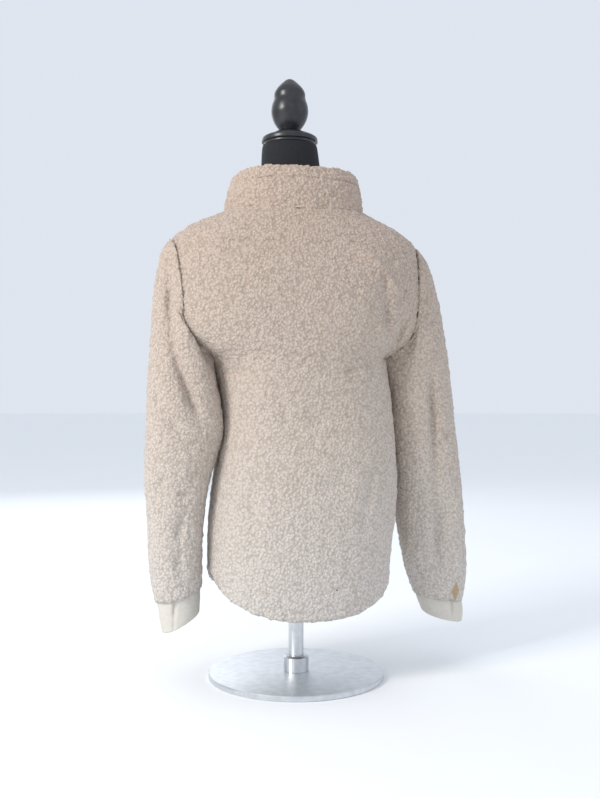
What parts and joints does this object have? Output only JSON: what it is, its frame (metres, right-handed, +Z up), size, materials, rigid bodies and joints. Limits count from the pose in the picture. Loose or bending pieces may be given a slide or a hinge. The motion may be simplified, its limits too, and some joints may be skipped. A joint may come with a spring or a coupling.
{
  "type": "sherpa jacket on a dress form",
  "caption": "Hip-length sherpa fleece jacket with stand collar, shirt-tail hem and jersey cuffs, worn by a limbless dress form on a round-base stand.",
  "frame": {"origin": "centre of the underside of the stand's base", "axes": "+Z up, wearer's left hand towards +X, back of the jacket towards +Y"},
  "size_m": [0.5627, 0.29, 1.005],
  "materials": {
    "sherpa": "cream-beige curly sherpa pile, matt",
    "cuff_jersey": "smooth cream jersey, matt",
    "zip_tape": "woven tape, matt",
    "zip_metal": "satin nickel",
    "form_jersey": "black jersey cover, matt",
    "black_wood": "black lacquered turned wood",
    "steel": "satin steel"
  },
  "bodies": {
    "jacket_and_form": {"back_panel": "sherpa", "front_left": "sherpa", "front_right": "sherpa", "sleeve_left": "sherpa", "sleeve_right": "sherpa", "collar": "sherpa", "cuff_left": "cuff_jersey", "cuff_right": "cuff_jersey", "zip_tape_left": "zip_tape", "zip_tape_right": "zip_tape", "zip_slider": "zip_metal", "form_torso": "form_jersey", "neck_cap": "black_wood", "finial": "black_wood", "pole_flange": "steel", "stand_pole": "steel", "base_socket": "steel", "stand_base": "steel"},
    "zip_pull": {"zip_pull": "zip_metal"}
  },
  "joints": [
    {"name": "pull_tab_hinge", "type": "hinge", "parent": "jacket_and_form", "child": "zip_pull", "pos_m": [0, -0.09768, 0.69291], "axis": [-1, 0, 0], "range_deg": [0, 150]}
  ]
}
